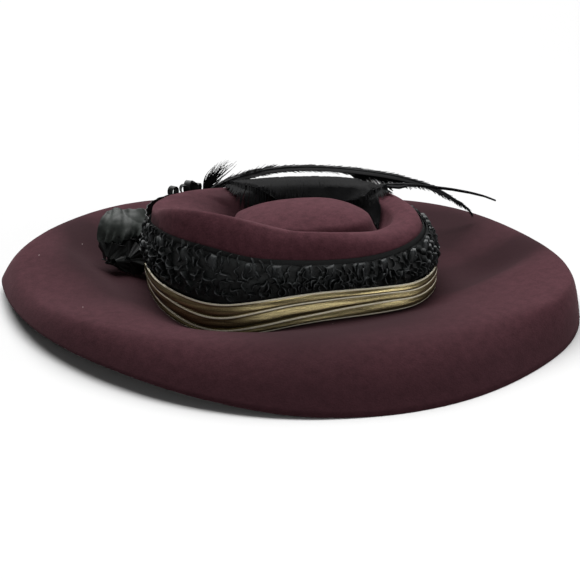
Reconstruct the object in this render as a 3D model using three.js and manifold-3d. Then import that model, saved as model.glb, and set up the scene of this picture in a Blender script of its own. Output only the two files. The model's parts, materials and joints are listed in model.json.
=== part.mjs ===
// A wide-brimmed felt hat with a telescoped crown: a raised rim, a groove and a low dome inside it.
// Round the crown run a flat black ribbon, a ruched ribbon over it and three overlapping gold folds,
// and at one end of the crown a black satin rosette holds the feathers that sweep along its far side.
// Millimetres, +Z up. The crown's length lies along X. The hat stands on the edge of its brim at z = 0.
import * as THREE from "three";
import { mergeVertices } from "three/addons/utils/BufferGeometryUtils.js";
import Module from "manifold-3d";

const wasm = await Module();
wasm.setup();

const STEPS = 66; // segments round the hat
const GAP = 0.3; // clearance between two pieces that lie on each other

// Felt body, measured on its outside at the height where the crown is widest.
const FELT = 2.2;
const CROWN = { centre: 0, halfLength: 96.4, halfWidth: 76, boxiness: 2.6, widestAt: 31 };
const BARREL = { above: 0.0075, aboveAtEnds: 0.005, below: 0.002, belowAtEnds: 0.006 };

// Round the crown in degrees: the heights of the rim's crest, of the flat ribbon's upper edge and of
// the break where the crown meets the brim, and how far the wall swells out at its rounded corners.
const CROWN_LINES = [
  { at: 0, rim: 61, ribbon: 58, brimBreak: 11.4, swell: 0 },
  { at: 30, rim: 62, ribbon: 58, brimBreak: 10.4, swell: 0 },
  { at: 90, rim: 63, ribbon: 57, brimBreak: 8.5, swell: 0 },
  { at: 135, rim: 66, ribbon: 58, brimBreak: 8.5, swell: 0 },
  { at: 175, rim: 67, ribbon: 59.2, brimBreak: 8.5, swell: 0 },
  { at: 192, rim: 74, ribbon: 61.6, brimBreak: 8.3, swell: 0 },
  { at: 206, rim: 78, ribbon: 62, brimBreak: 5.8, swell: 1.2 },
  { at: 221, rim: 78, ribbon: 60.6, brimBreak: 3.4, swell: 3.4 },
  { at: 237, rim: 72.6, ribbon: 54.4, brimBreak: 4, swell: 2.8 },
  { at: 252, rim: 66.7, ribbon: 51, brimBreak: 6.9, swell: 0.6 },
  { at: 273, rim: 63.4, ribbon: 48.4, brimBreak: 8.6, swell: 0 },
  { at: 294, rim: 60.5, ribbon: 48.2, brimBreak: 8.6, swell: 1 },
  { at: 309, rim: 58, ribbon: 50.6, brimBreak: 8.2, swell: 2.5 },
  { at: 323, rim: 58, ribbon: 53.3, brimBreak: 9.8, swell: 1.6 },
  { at: 340, rim: 60, ribbon: 56.5, brimBreak: 11.2, swell: 0.2 },
];

// Sections of the brim: the radius and height of its edge, and as shares of its width, with
// their heights, the line where the slope from the crown ends and the line where the roll begins.
const BRIM_SECTIONS = [
  { at: 0, radius: 197.5, edge: 2, slopeEnd: 0.66, slopeHeight: 27, rollStart: 0.82, rollHeight: 30.5 },
  { at: 30, radius: 197.5, edge: -1, slopeEnd: 0.6, slopeHeight: 26, rollStart: 0.8, rollHeight: 31 },
  { at: 60, radius: 190, edge: -1, slopeEnd: 0.5, slopeHeight: 24, rollStart: 0.74, rollHeight: 29 },
  { at: 90, radius: 188, edge: -1, slopeEnd: 0.5, slopeHeight: 24, rollStart: 0.74, rollHeight: 30 },
  { at: 120, radius: 198, edge: -1, slopeEnd: 0.55, slopeHeight: 29, rollStart: 0.8, rollHeight: 35.2 },
  { at: 145, radius: 205, edge: 4, slopeEnd: 0.66, slopeHeight: 30, rollStart: 0.83, rollHeight: 32.7 },
  { at: 158, radius: 210, edge: 8, slopeEnd: 0.58, slopeHeight: 27.5, rollStart: 0.81, rollHeight: 29.5 },
  { at: 170, radius: 197.5, edge: 9.5, slopeEnd: 0.42, slopeHeight: 23.5, rollStart: 0.86, rollHeight: 25 },
  { at: 186, radius: 186, edge: 10.5, slopeEnd: 0.38, slopeHeight: 20.5, rollStart: 0.88, rollHeight: 22 },
  { at: 204, radius: 179, edge: 10, slopeEnd: 0.42, slopeHeight: 22, rollStart: 0.84, rollHeight: 26 },
  { at: 222, radius: 178, edge: 9, slopeEnd: 0.45, slopeHeight: 22, rollStart: 0.76, rollHeight: 27 },
  { at: 238, radius: 182, edge: 6, slopeEnd: 0.45, slopeHeight: 23, rollStart: 0.7, rollHeight: 28 },
  { at: 256, radius: 188, edge: 1.5, slopeEnd: 0.45, slopeHeight: 24, rollStart: 0.64, rollHeight: 28 },
  { at: 276, radius: 192, edge: -1, slopeEnd: 0.45, slopeHeight: 24, rollStart: 0.68, rollHeight: 28 },
  { at: 300, radius: 192.5, edge: -1, slopeEnd: 0.42, slopeHeight: 23, rollStart: 0.74, rollHeight: 27.5 },
  { at: 322, radius: 197.6, edge: -1, slopeEnd: 0.46, slopeHeight: 23, rollStart: 0.915, rollHeight: 28.5 },
  { at: 342, radius: 199, edge: 2, slopeEnd: 0.74, slopeHeight: 27, rollStart: 0.875, rollHeight: 29.4 },
];
// Rings on the slope, the top and the roll, and the curve of each.
const BRIM_RINGS = { slope: 3, top: 2, roll: 4 };
const BRIM_CURVES = { slopeSpread: 1.5, slopeEnd: 1.4, top: 1.6, roll: 1.9 };

// Sections of the crown's top, from the dome outwards: centre and half axes, and the height as
// a base plus a share of the rim's height and a share of the ribbon's height.
const CROWN_SECTIONS = [
  { x: 10, y: -1, a: 17, b: 14, base: 64.6, rim: 0, ribbon: 0 }, // dome crown
  { x: 10, y: -1, a: 33, b: 27, base: 62, rim: 0, ribbon: 0 }, // dome top
  { x: 8.5, y: -2, a: 46, b: 36.5, base: 56.5, rim: 0, ribbon: 0 }, // dome shoulder
  { x: 8.5, y: -2, a: 50, b: 40, base: 48, rim: 0, ribbon: 0 }, // dome side
  { x: 9, y: -2, a: 53, b: 42.5, base: 42, rim: 0, ribbon: 0 }, // groove floor
  { x: 9.5, y: -1.5, a: 58, b: 45, base: 35, rim: 0.2, ribbon: 0 }, // groove side
  { x: 5, y: -1, a: 66, b: 51.5, base: 16, rim: 0.68, ribbon: 0 }, // rim inside
  { x: -6, y: 0, a: 85, b: 62.5, base: 0, rim: 1, ribbon: 0 }, // rim crest
  { x: -3.5, y: 0, a: 90, b: 69, base: 0, rim: 0.72, ribbon: 0.28 }, // rim outside
];
const DOME_TOP = 65.3;
// The wall below them: its rings as shares of the way up from the brim break to the ribbon's edge.
const WALL_SHARES = { ribbonEdge: 1, ribbonMiddle: 0.62, goldTop: 0.3, brimBreak: 0 };

// Flat ribbon and the ruched ribbon on it, as thicknesses; the puffs stand in three staggered rows.
const RIBBON = { thick: 0.9 };
const RUCHE = { aboveGold: 0.8, belowRibbonTop: 3, thin: 0.8, thick: 4, puffs: STEPS / 2, evenShare: 0.45 };
const OUTSIDE_RUCHE = 3 * GAP + RIBBON.thick + RUCHE.thick;
const RUCHE_LEVELS = [
  { share: 0, puff: 0, row: 0 },
  { share: 0.16, puff: 0.8, row: 0 },
  { share: 0.33, puff: 0.35, row: 1 },
  { share: 0.5, puff: 1, row: 1 },
  { share: 0.66, puff: 0.4, row: 2 },
  { share: 0.84, puff: 1, row: 2 },
  { share: 1, puff: 0, row: 2 },
];

// Upper lines of the three gold folds and the foot of the lowest, at places round the crown in degrees.
const GOLD_LINES = [
  { at: 0, upper: 30, middle: 25, lower: 18.5, foot: 13 },
  { at: 90, upper: 28.5, middle: 23, lower: 16, foot: 10 },
  { at: 172, upper: 28.5, middle: 22.3, lower: 15.5, foot: 10 },
  { at: 192, upper: 28.3, middle: 22, lower: 14.8, foot: 9.8 },
  { at: 204, upper: 28.1, middle: 20.8, lower: 12.3, foot: 7.8 },
  { at: 214, upper: 26.4, middle: 18, lower: 9, foot: 5.8 },
  { at: 226, upper: 24.4, middle: 15.4, lower: 7, foot: 4.8 },
  { at: 240, upper: 26.6, middle: 19.8, lower: 10.2, foot: 6 },
  { at: 253, upper: 28, middle: 22.6, lower: 13.2, foot: 8.6 },
  { at: 266, upper: 28.7, middle: 23.4, lower: 15, foot: 10 },
  { at: 282, upper: 28.3, middle: 23.8, lower: 17, foot: 10.4 },
  { at: 300, upper: 27, middle: 23, lower: 17.5, foot: 10.2 },
  { at: 313, upper: 25.6, middle: 20.8, lower: 15.8, foot: 10 },
  { at: 325, upper: 26.6, middle: 22, lower: 16.5, foot: 11.6 },
  { at: 340, upper: 29.3, middle: 24.3, lower: 18, foot: 12.8 },
];
// Each fold runs from its own line down behind the next: depths from the felt of its edge and its foot.
const GOLD_FOLDS = [
  { name: "gold_fold_upper", top: "upper", next: "middle", overlap: 1.2, edgeDepth: 3.4, footDepth: 1.5 },
  { name: "gold_fold_middle", top: "middle", next: "lower", overlap: 1.2, edgeDepth: 3.9, footDepth: 1.9 },
  { name: "gold_fold_lower", top: "lower", next: "foot", overlap: 0, edgeDepth: 4.4, footDepth: 2.8 },
];
const GOLD = { thick: 0.8, bead: 0.7 };

// Slender plume above the far side of the crown: points along its shaft and the blade's width there.
const UPPER_PLUME = [
  { x: -45, y: 73, z: 57, width: 3.5 },
  { x: -35, y: 75.5, z: 61, width: 6 },
  { x: -23, y: 77.3, z: 65.1, width: 8 },
  { x: -8, y: 77, z: 68.7, width: 10 },
  { x: 8, y: 78, z: 71, width: 10 },
  { x: 31, y: 77, z: 71.5, width: 10 },
  { x: 55, y: 74, z: 70, width: 10 },
  { x: 79, y: 69, z: 67, width: 10 },
  { x: 102, y: 62, z: 63.5, width: 9.5 },
  { x: 122, y: 53, z: 58.5, width: 8 },
  { x: 136, y: 45, z: 52.5, width: 6 },
  { x: 147, y: 39, z: 46, width: 4.5 },
  { x: 155, y: 36, z: 40.5, width: 3 },
  { x: 159, y: 34, z: 36, width: 1.2 },
];
const UPPER_PLUME_THICK = 2.2;
const UPPER_PLUME_FACE = new THREE.Vector3(0, -0.25, 1);
const BLADE_EDGE = 0.2; // thickness of a blade's edges, as a share of that at its shaft

// Broad plume laid over the far side of the rim. Its shaft and its free edge each lie at a place round
// the crown and on a section of the crown's top (8 is the rim's outside, 4 the groove); lift is the shaft's.
const BROAD_PLUME = [
  { shaftAt: 112, shaft: 7.9, edgeAt: 110, edge: 7.3, lift: 0.5 },
  { shaftAt: 104, shaft: 8.2, edgeAt: 103, edge: 6.2, lift: 2 },
  { shaftAt: 94, shaft: 8.4, edgeAt: 93, edge: 5.5, lift: 3.5 },
  { shaftAt: 82, shaft: 8.5, edgeAt: 80, edge: 5.4, lift: 4.5 },
  { shaftAt: 70, shaft: 8.5, edgeAt: 66, edge: 5.4, lift: 4.5 },
  { shaftAt: 58, shaft: 8.5, edgeAt: 52, edge: 5.4, lift: 4.5 },
  { shaftAt: 47, shaft: 8.6, edgeAt: 38, edge: 5.4, lift: 4 },
  { shaftAt: 38, shaft: 8.7, edgeAt: 24, edge: 5.7, lift: 3.5 },
  { shaftAt: 32, shaft: 8.8, edgeAt: 18, edge: 6.5, lift: 3 },
  { shaftAt: 27, shaft: 8.9, edgeAt: 17, edge: 7.6, lift: 3 },
];
// Its bare tip, past the crown.
const BROAD_PLUME_TIP = [
  { x: 93, y: 35, z: 62.5, width: 15 },
  { x: 103, y: 36, z: 62.5, width: 8 },
  { x: 113, y: 34, z: 61.5, width: 3.5 },
  { x: 124, y: 31, z: 60, width: 2 },
  { x: 137, y: 26, z: 58.5, width: 1.6 },
  { x: 149, y: 20.5, z: 56.5, width: 1.3 },
  { x: 158, y: 15, z: 54.5, width: 1 },
  { x: 165, y: 9, z: 52, width: 0.8 },
];
const BROAD_PLUME_THICK = 1.4;
const PLUME_CLEARANCE = { shaft: 1.6, edge: 3.2 };
const PLUME_ACROSS = [0, 0.25, 0.5, 0.75, 1];

// Plume in the groove, under the broad one and round the dome's end, between two of the same sections.
const GROOVE_PLUME = [
  { at: 72, inner: 4.9, outer: 5.4 },
  { at: 60, inner: 4.6, outer: 5.4 },
  { at: 48, inner: 4.5, outer: 5.4 },
  { at: 36, inner: 4.5, outer: 5.5 },
  { at: 24, inner: 4.5, outer: 5.7 },
  { at: 12, inner: 4.5, outer: 6 },
  { at: 0, inner: 4.5, outer: 5.8 },
  { at: -12, inner: 4.6, outer: 5.5 },
  { at: -19, inner: 4.8, outer: 5.1 },
];
const GROOVE_PLUME_THICK = 1.2;
const GROOVE_PLUME_CLEARANCE = 1.3;
const GROOVE_PLUME_ACROSS = [0, 0.5, 1];
const SMALL_TURN = 0.05; // radians, for the slope of the crown's top round the hat

// Loose barbs at the plumes' root, and the tips that they reach.
const TUFT = { at: 119, height: 62, depth: 8.2, head: 2.2, thick: 1.2 };
const TUFT_TIPS = [
  { x: -40, y: 76, z: 73, width: 3.2 },
  { x: -34, y: 79, z: 77, width: 3.2 },
  { x: -27, y: 80, z: 78, width: 3 },
  { x: -18, y: 82, z: 77, width: 2.6 },
];

// Rosette beside the crown: its heart, and the petals that spread from it.
const ROSETTE = { at: 152, height: 38, heart: 7, sink: 2.6 };
const PETAL = { thick: 1.8, corner: 0.22, ripple: 1.5, ripples: 2.5 };
const PETAL_RINGS = [
  { along: 0.1, wide: 0.58 },
  { along: 0.45, wide: 0.97 },
  { along: 0.8, wide: 0.95 },
  { along: 1, wide: 0.95 },
];
const PETAL_ACROSS = [-1, -0.35, 0.35, 1];
const PETALS = [
  { turn: 188, rise: 6, roll: 62, length: 33, width: 36, cup: 6 },
  { turn: 150, rise: 42, roll: 20, length: 24, width: 27, cup: 5 },
  { turn: 190, rise: -38, roll: 35, length: 29, width: 29, cup: 4 },
  { turn: 120, rise: 4, roll: 0, length: 30, width: 29, cup: 5 },
  { turn: 216, rise: -36, roll: 10, length: 20, width: 20, cup: 3 },
];

// Small ribbon loops on a standing edge of ribbon, behind the rosette and as far as the plumes.
const LOOPS = { wire: 1.4, depth: 5 };
const LOOP_BAR = { from: 125.5, to: 176, sections: 8, foot: -2, top: 1.6, rise: 4.8, inner: 1.8, outer: 4.2 };
const LOOP_PLACES = [
  { at: 137, radius: 3.2, turn: 20, height: 63 },
  { at: 130.5, radius: 4.4, turn: -35, height: 63.8 },
  { at: 126, radius: 3.2, turn: 25, height: 62.6 },
];

const radians = THREE.MathUtils.degToRad;

// Smooth closed line through a table's rows round the hat, for one of its columns.
function around(rows, column, angle) {
  const degrees = ((THREE.MathUtils.radToDeg(angle) % 360) + 360) % 360;
  const count = rows.length;
  let last = count - 1;
  while (last > 0 && rows[last].at > degrees) last -= 1;
  const row = (k) => rows[(k + count) % count];
  const place = (k) => row(k).at + 360 * Math.floor(k / count);
  const slope = (k) => (row(k + 1)[column] - row(k - 1)[column]) / (place(k + 1) - place(k - 1));
  const span = place(last + 1) - place(last);
  const t = (degrees - place(last)) / span;
  const from = row(last)[column];
  const to = row(last + 1)[column];
  return from * (1 + 2 * t) * (1 - t) ** 2 + slope(last) * span * t * (1 - t) ** 2
    + to * t * t * (3 - 2 * t) + slope(last + 1) * span * t * t * (t - 1);
}

// Rounded oval seen from above: the distance from its centre at an angle.
function ovalRadius(a, b, angle) {
  const n = CROWN.boxiness;
  const sum = Math.abs(Math.cos(angle) / a) ** n + Math.abs(Math.sin(angle) / b) ** n;
  return sum ** (-1 / n);
}

function ovalPoint(x, y, a, b, z, angle) {
  const r = ovalRadius(a, b, angle);
  return new THREE.Vector3(x + r * Math.cos(angle), y + r * Math.sin(angle), z);
}

const ribbonTop = (angle) => around(CROWN_LINES, "ribbon", angle);
const brimBreak = (angle) => around(CROWN_LINES, "brimBreak", angle);

// The crown's wall at a height: barrel-shaped, and pushed outwards by depth for what lies on it.
function wallPoint(angle, z, depth = 0) {
  const along = Math.cos(angle);
  const above = BARREL.above + BARREL.aboveAtEnds * along;
  const below = BARREL.below + BARREL.belowAtEnds * along ** 6;
  const inset = (z > CROWN.widestAt ? above : below) * (z - CROWN.widestAt) ** 2;
  const out = depth - inset + around(CROWN_LINES, "swell", angle);
  return ovalPoint(CROWN.centre, 0, CROWN.halfLength + out, CROWN.halfWidth + out, z, angle);
}

// Eased rise from one height to another, with a slope left over at its end.
function rise(from, to, endSlope, t) {
  return from + (to - from) * t * t * (3 - 2 * t) + endSlope * t * t * (t - 1);
}

// Rings of the brim's upper face, from just outside the break to the edge.
function brimSections() {
  const total = BRIM_RINGS.slope + BRIM_RINGS.top + BRIM_RINGS.roll;
  return Array.from({ length: total }, (_, ring) => (angle) => {
    const row = (column) => around(BRIM_SECTIONS, column, angle);
    const slopeEnd = row("slopeEnd");
    const rollStart = row("rollStart");
    const topRise = row("rollHeight") - row("slopeHeight");
    const topSlope = topRise / (rollStart - slopeEnd);
    let share;
    let z;
    if (ring < BRIM_RINGS.slope) {
      const t = ((ring + 1) / BRIM_RINGS.slope) ** BRIM_CURVES.slopeSpread;
      share = slopeEnd * t;
      z = rise(brimBreak(angle), row("slopeHeight"), BRIM_CURVES.slopeEnd * topSlope * slopeEnd, t);
    } else if (ring < BRIM_RINGS.slope + BRIM_RINGS.top) {
      const t = (ring - BRIM_RINGS.slope + 1) / BRIM_RINGS.top;
      share = slopeEnd + (rollStart - slopeEnd) * t;
      z = row("rollHeight") - topRise * (1 - t) ** BRIM_CURVES.top;
    } else {
      const t = (ring - BRIM_RINGS.slope - BRIM_RINGS.top + 1) / BRIM_RINGS.roll;
      share = rollStart + (1 - rollStart) * t;
      z = row("rollHeight") - (row("rollHeight") - row("edge")) * t ** BRIM_CURVES.roll;
    }
    const root = wallPoint(angle, brimBreak(angle));
    const edge = new THREE.Vector3(Math.cos(angle), Math.sin(angle), 0).multiplyScalar(row("radius"));
    return root.lerp(edge, share).setZ(z);
  });
}

function crownSection(section, angle) {
  const line = (column) => section[column] * around(CROWN_LINES, column, angle);
  const z = section.base + line("rim") + line("ribbon");
  return ovalPoint(section.x, section.y, section.a, section.b, z, angle);
}

// A height on the crown's wall as a share of the way from the brim break to the ribbon's upper edge.
function wallHeight(angle, share) {
  return brimBreak(angle) + share * (ribbonTop(angle) - brimBreak(angle));
}

// Rings of the felt's upper face, each as a function of the angle, from the dome to the edge.
function feltSections() {
  const crown = CROWN_SECTIONS.map((section) => (angle) => crownSection(section, angle));
  const wall = Object.values(WALL_SHARES).map((share) => {
    return (angle) => wallPoint(angle, wallHeight(angle, share));
  });
  return [...crown, ...wall, ...brimSections()];
}

const angles = Array.from({ length: STEPS }, (_, i) => (i / STEPS) * Math.PI * 2);

// Inner face: each point of the outer one moved in by the felt's thickness along the surface normal.
function offsetRings(rings, apex, depth) {
  const rows = rings.length;
  return rings.map((ring, r) => ring.map((point, i) => {
    const before = r === 0 ? apex : rings[r - 1][i];
    const after = r === rows - 1 ? point : rings[r + 1][i];
    const along = new THREE.Vector3().subVectors(after, before);
    const across = new THREE.Vector3().subVectors(ring[(i + 1) % STEPS], ring[(i + STEPS - 1) % STEPS]);
    const normal = new THREE.Vector3().crossVectors(along, across).normalize();
    return point.clone().addScaledVector(normal, -depth);
  }));
}

// Closed surface from a pole, through rings, to another pole.
function closedLoft(start, rings, end) {
  const count = rings[0].length;
  const positions = [start, ...rings.flat(), end].flatMap((p) => [p.x, p.y, p.z]);
  const at = (r, i) => 1 + r * count + (i % count);
  const last = 1 + rings.length * count;
  const index = [];
  for (let i = 0; i < count; i++) {
    index.push(0, at(0, i), at(0, i + 1));
    for (let r = 0; r < rings.length - 1; r++) {
      index.push(at(r, i), at(r + 1, i), at(r + 1, i + 1), at(r, i), at(r + 1, i + 1), at(r, i + 1));
    }
    index.push(at(rings.length - 1, i), last, at(rings.length - 1, i + 1));
  }
  return indexed(positions, index);
}

// Loft closed at each end by a fan about the middle of its first and last ring.
function capped(rings) {
  const middle = (ring) => ring.reduce((sum, p) => sum.add(p), new THREE.Vector3()).divideScalar(ring.length);
  return closedLoft(middle(rings[0]), rings, middle(rings.at(-1)));
}

// Closed band: sections of the same closed outline, one after another round the hat.
function closedBand(sections) {
  const count = sections[0].length;
  const positions = sections.flat().flatMap((p) => [p.x, p.y, p.z]);
  const at = (s, i) => (s % sections.length) * count + (i % count);
  const index = [];
  for (let s = 0; s < sections.length; s++) {
    for (let i = 0; i < count; i++) {
      index.push(at(s, i), at(s + 1, i), at(s + 1, i + 1), at(s, i), at(s + 1, i + 1), at(s, i + 1));
    }
  }
  return indexed(positions, index);
}

function indexed(positions, index) {
  const geometry = new THREE.BufferGeometry();
  geometry.setAttribute("position", new THREE.Float32BufferAttribute(positions, 3));
  geometry.setIndex(index);
  return geometry;
}

function feltBody() {
  const outer = feltSections().map((section) => angles.map(section));
  const apex = new THREE.Vector3(CROWN_SECTIONS[0].x, CROWN_SECTIONS[0].y, DOME_TOP);
  const inner = offsetRings(outer, apex, FELT);
  // The edge is pressed flat where it would reach below the surface that the hat stands on.
  for (const point of [...outer.at(-1), ...inner.at(-1)]) point.z = Math.max(point.z, 0);
  const under = apex.clone().setZ(apex.z - FELT);
  return closedLoft(apex, [...outer, ...inner.reverse()], under);
}

// Flat ribbon: a thin wall on the felt from behind the gold to its own upper edge.
function flatRibbon() {
  const shares = [WALL_SHARES.ribbonEdge, WALL_SHARES.ribbonMiddle, WALL_SHARES.goldTop];
  return closedBand(angles.map((angle) => {
    const side = (depth) => shares.map((share) => wallPoint(angle, wallHeight(angle, share), depth));
    return [...side(GAP + RIBBON.thick).reverse(), ...side(GAP)];
  }));
}

// Ruched ribbon: rows of puffs, each row shifted by half a puff from the next.
function ruchedRibbon() {
  const inside = 2 * GAP + RIBBON.thick;
  return closedBand(angles.map((angle) => {
    const top = ribbonTop(angle) - RUCHE.belowRibbonTop;
    const foot = around(GOLD_LINES, "upper", angle) + RUCHE.aboveGold;
    const outer = RUCHE_LEVELS.map((level) => {
      const wave = 0.5 + 0.5 * Math.cos(angle * RUCHE.puffs + level.row * Math.PI);
      const fullness = level.puff * (RUCHE.evenShare + (1 - RUCHE.evenShare) * wave);
      const depth = RUCHE.thin + (RUCHE.thick - RUCHE.thin) * fullness;
      return wallPoint(angle, foot + (top - foot) * level.share, inside + depth);
    });
    const middle = wallHeight(angle, WALL_SHARES.ribbonMiddle);
    return [...outer, ...[top, middle, foot].map((z) => wallPoint(angle, z, inside))];
  }));
}

// One gold fold: a leaning strip with a rounded bead along its upper edge.
function goldFold(fold) {
  return closedBand(angles.map((angle) => {
    const top = around(GOLD_LINES, fold.top, angle);
    const foot = around(GOLD_LINES, fold.next, angle) - fold.overlap;
    const { thick, bead } = GOLD;
    const outline = [
      { z: foot, depth: fold.footDepth },
      { z: foot, depth: fold.footDepth + thick },
      { z: top - bead, depth: fold.edgeDepth + bead },
      { z: top, depth: fold.edgeDepth },
      { z: top - bead, depth: fold.edgeDepth - thick },
    ];
    return outline.map((p) => wallPoint(angle, p.z, p.depth));
  }));
}

// Frames along a table of points: the direction across the blade and the one out of its face.
function shaftFrames(rows, face) {
  const points = rows.map((row) => new THREE.Vector3(row.x, row.y, row.z));
  return points.map((point, i) => {
    const next = points[Math.min(i + 1, points.length - 1)];
    const tangent = new THREE.Vector3().subVectors(next, points[Math.max(i - 1, 0)]).normalize();
    const across = new THREE.Vector3().crossVectors(face, tangent).normalize();
    const normal = new THREE.Vector3().crossVectors(tangent, across).normalize();
    return { point, across, normal, width: rows[i].width };
  });
}

// Outline of a blade: thick at the shaft and thin at both edges.
function bladeOutline({ point, across, normal, width }, thick) {
  const place = (side, out) => {
    return point.clone().addScaledVector(across, side * width / 2).addScaledVector(normal, out * thick / 2);
  };
  const above = [place(-1, BLADE_EDGE), place(0, 1), place(1, BLADE_EDGE)];
  const below = [place(1, -BLADE_EDGE), place(0, -1), place(-1, -BLADE_EDGE)];
  return [...above, ...below];
}

function upperPlume() {
  const frames = shaftFrames(UPPER_PLUME, UPPER_PLUME_FACE);
  const rings = frames.map((frame) => bladeOutline(frame, Math.min(UPPER_PLUME_THICK, frame.width / 2)));
  return capped(rings);
}

// A point on the crown's top between two of its sections, raised from the felt.
function crownTopPoint(place, angle, lift) {
  const lower = Math.floor(place);
  const wallTop = (turned) => wallPoint(turned, ribbonTop(turned));
  const at = (k, turn) => {
    return CROWN_SECTIONS[k] ? crownSection(CROWN_SECTIONS[k], angle + turn) : wallTop(angle + turn);
  };
  const point = at(lower, 0).lerp(at(lower + 1, 0), place - lower);
  const outwards = new THREE.Vector3().subVectors(at(lower + 1, 0), at(lower, 0));
  const turnwards = new THREE.Vector3().subVectors(at(lower, SMALL_TURN), at(lower, -SMALL_TURN));
  return point.addScaledVector(outwards.cross(turnwards).normalize(), lift);
}

function broadPlume() {
  const onCrown = BROAD_PLUME.map((row) => {
    const face = (thick) => PLUME_ACROSS.map((t) => {
      const place = row.shaft + (row.edge - row.shaft) * t;
      const angle = radians(row.shaftAt + (row.edgeAt - row.shaftAt) * t);
      const clearance = PLUME_CLEARANCE.shaft + (PLUME_CLEARANCE.edge - PLUME_CLEARANCE.shaft) * t;
      return crownTopPoint(place, angle, clearance + thick + row.lift * (1 - t) ** 2);
    });
    return [...face(0), ...face(BROAD_PLUME_THICK).reverse()];
  });
  const frames = shaftFrames(BROAD_PLUME_TIP, new THREE.Vector3(0, 0, 1));
  const bare = frames.map((frame) => {
    const thick = Math.min(BROAD_PLUME_THICK, frame.width);
    const face = (out) => PLUME_ACROSS.map((t) => frame.point.clone()
      .addScaledVector(frame.across, (0.5 - t) * frame.width)
      .addScaledVector(frame.normal, out * thick));
    return [...face(-0.5), ...face(0.5).reverse()];
  });
  return capped([...onCrown, ...bare]);
}

function groovePlume() {
  return capped(GROOVE_PLUME.map((row) => {
    const face = (lift) => GROOVE_PLUME_ACROSS.map((t) => {
      const section = row.outer + (row.inner - row.outer) * t;
      return crownTopPoint(section, radians(row.at), GROOVE_PLUME_CLEARANCE + lift);
    });
    return [...face(0), ...face(GROOVE_PLUME_THICK).reverse()];
  }));
}

// Solid of a closed geometry, for joining.
function solid(geometry) {
  const bare = geometry.clone();
  bare.deleteAttribute("normal");
  bare.deleteAttribute("uv");
  const merged = mergeVertices(bare, 1e-4);
  return new wasm.Manifold(new wasm.Mesh({
    numProp: 3,
    vertProperties: merged.getAttribute("position").array,
    triVerts: new Uint32Array(merged.index.array),
  }));
}

function fused(geometries) {
  const whole = geometries.map(solid).reduce((sum, piece) => sum.add(piece));
  const mesh = whole.getMesh();
  return indexed(Array.from(mesh.vertProperties), Array.from(mesh.triVerts));
}

// A petal: a cupped sheet with a rounded, rippled free edge, lofted from its root outwards.
function petal(heart, row) {
  const turn = radians(row.turn);
  const climb = radians(row.rise);
  const level = new THREE.Vector3(Math.cos(turn), Math.sin(turn), 0);
  const out = level.multiplyScalar(Math.cos(climb)).setZ(Math.sin(climb));
  const side = new THREE.Vector3(-Math.sin(turn), Math.cos(turn), 0).applyAxisAngle(out, radians(row.roll));
  const face = new THREE.Vector3().crossVectors(out, side);
  const point = (u, v, wide, lift) => {
    const cup = row.cup * (v * v - 0.5) * u;
    const ripple = PETAL.ripple * u * Math.sin(PETAL.ripples * Math.PI * v);
    return heart.clone()
      .addScaledVector(out, row.length * u * (1 - PETAL.corner * v * v))
      .addScaledVector(side, (row.width / 2) * wide * v)
      .addScaledVector(face, cup + ripple + lift);
  };
  return capped(PETAL_RINGS.map(({ along, wide }) => {
    const sheet = (lift) => PETAL_ACROSS.map((v) => point(along, v, wide, lift));
    return [...sheet(PETAL.thick / 2), ...sheet(-PETAL.thick / 2).reverse()];
  }));
}

function rosette() {
  const heart = wallPoint(radians(ROSETTE.at), ROSETTE.height, OUTSIDE_RUCHE + ROSETTE.heart - ROSETTE.sink);
  const core = new THREE.SphereGeometry(ROSETTE.heart, 8, 5).translate(heart.x, heart.y, heart.z);
  return fused([core, ...PETALS.map((row) => petal(heart, row))]);
}

function ribbonLoops() {
  const { from, to, foot, inner, outer } = LOOP_BAR;
  const bar = capped(Array.from({ length: LOOP_BAR.sections }, (_, k) => {
    const t = k / (LOOP_BAR.sections - 1);
    const angle = radians(from + (to - from) * t);
    const top = LOOP_BAR.top + LOOP_BAR.rise * Math.sqrt(Math.sin(Math.PI * t));
    const corner = (above, out) => wallPoint(angle, ribbonTop(angle) + above, out);
    return [corner(foot, inner), corner(foot, outer), corner(top, outer), corner(top, inner)];
  }));
  const loops = LOOP_PLACES.map((place) => {
    const angle = radians(place.at);
    const centre = wallPoint(angle, ribbonTop(angle), LOOPS.depth);
    return new THREE.TorusGeometry(place.radius, LOOPS.wire, 4, 7).rotateX(Math.PI / 2)
      .rotateZ(radians(place.at + 90 + place.turn)).translate(centre.x, centre.y, place.height);
  });
  return fused([bar, ...loops]);
}

function featherTuft() {
  const root = wallPoint(radians(TUFT.at), TUFT.height, TUFT.depth);
  const head = new THREE.SphereGeometry(TUFT.head, 6, 4).translate(root.x, root.y, root.z);
  const barbs = TUFT_TIPS.map((tip) => {
    const end = new THREE.Vector3(tip.x, tip.y, tip.z);
    const along = new THREE.Vector3().subVectors(end, root).normalize();
    const side = new THREE.Vector3().crossVectors(new THREE.Vector3(0, 1, 0), along).normalize();
    const face = new THREE.Vector3().crossVectors(along, side);
    const ring = (t, share) => [[-1, 1], [1, 1], [1, -1], [-1, -1]].map(([s, f]) => {
      return root.clone().lerp(end, t)
        .addScaledVector(side, s * share * tip.width / 2)
        .addScaledVector(face, f * share * TUFT.thick / 2);
    });
    return capped([ring(0, 0.5), ring(0.5, 1), ring(1, 0.25)]);
  });
  return fused([head, ...barbs]);
}

function material(color, roughness, metalness = 0) {
  return new THREE.MeshStandardMaterial({ color, roughness, metalness });
}

const FELT_CLOTH = material(0x5a3640, 0.95);
const BLACK_RIBBON = material(0x16181a, 0.6);
const BLACK_SATIN = material(0x1c1f1f, 0.4);
const GOLD_LAME = material(0x7d6f48, 0.35, 0.8);
const BLACK_FEATHER = material(0x1b1b1c, 0.55);

const hat = new THREE.Group();

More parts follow.
